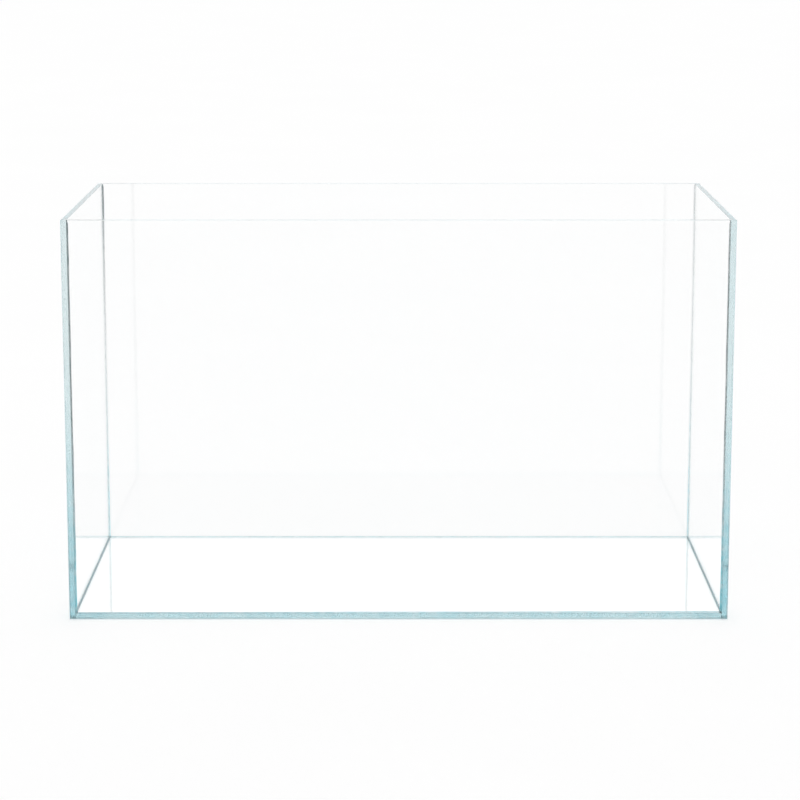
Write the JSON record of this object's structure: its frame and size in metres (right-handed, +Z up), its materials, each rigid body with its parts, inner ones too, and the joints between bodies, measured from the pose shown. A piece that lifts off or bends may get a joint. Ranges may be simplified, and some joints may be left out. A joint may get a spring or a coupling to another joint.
{
  "type": "glass aquarium tank",
  "caption": "Rimless open-top aquarium tank of clear glass panes bonded edge to edge with clear silicone, for holding water and aquatic life.",
  "frame": {"origin": "centre of the underside, on the surface the tank stands on", "axes": "+X along the length, to the right seen from the front; +Y from the front pane to the back pane; +Z up"},
  "size_m": [0.6, 0.3, 0.366],
  "materials": {
    "glass": "clear polished low-iron float glass, pale blue-green in its edges",
    "silicone": "clear glossy silicone sealant, tooled by hand"
  },
  "bodies": {
    "root": {"base_pane": "glass", "front_pane": "glass", "back_pane": "glass", "left_pane": "glass", "right_pane": "glass", "front_left_bond": "silicone", "front_right_bond": "silicone", "back_left_bond": "silicone", "back_right_bond": "silicone", "base_front_bond": "silicone", "base_back_bond": "silicone", "base_left_bond": "silicone", "base_right_bond": "silicone", "front_left_bead": "silicone", "front_right_bead": "silicone", "back_left_bead": "silicone", "back_right_bead": "silicone", "base_front_bead": "silicone", "base_back_bead": "silicone", "base_left_bead": "silicone", "base_right_bead": "silicone"}
  },
  "joints": []
}
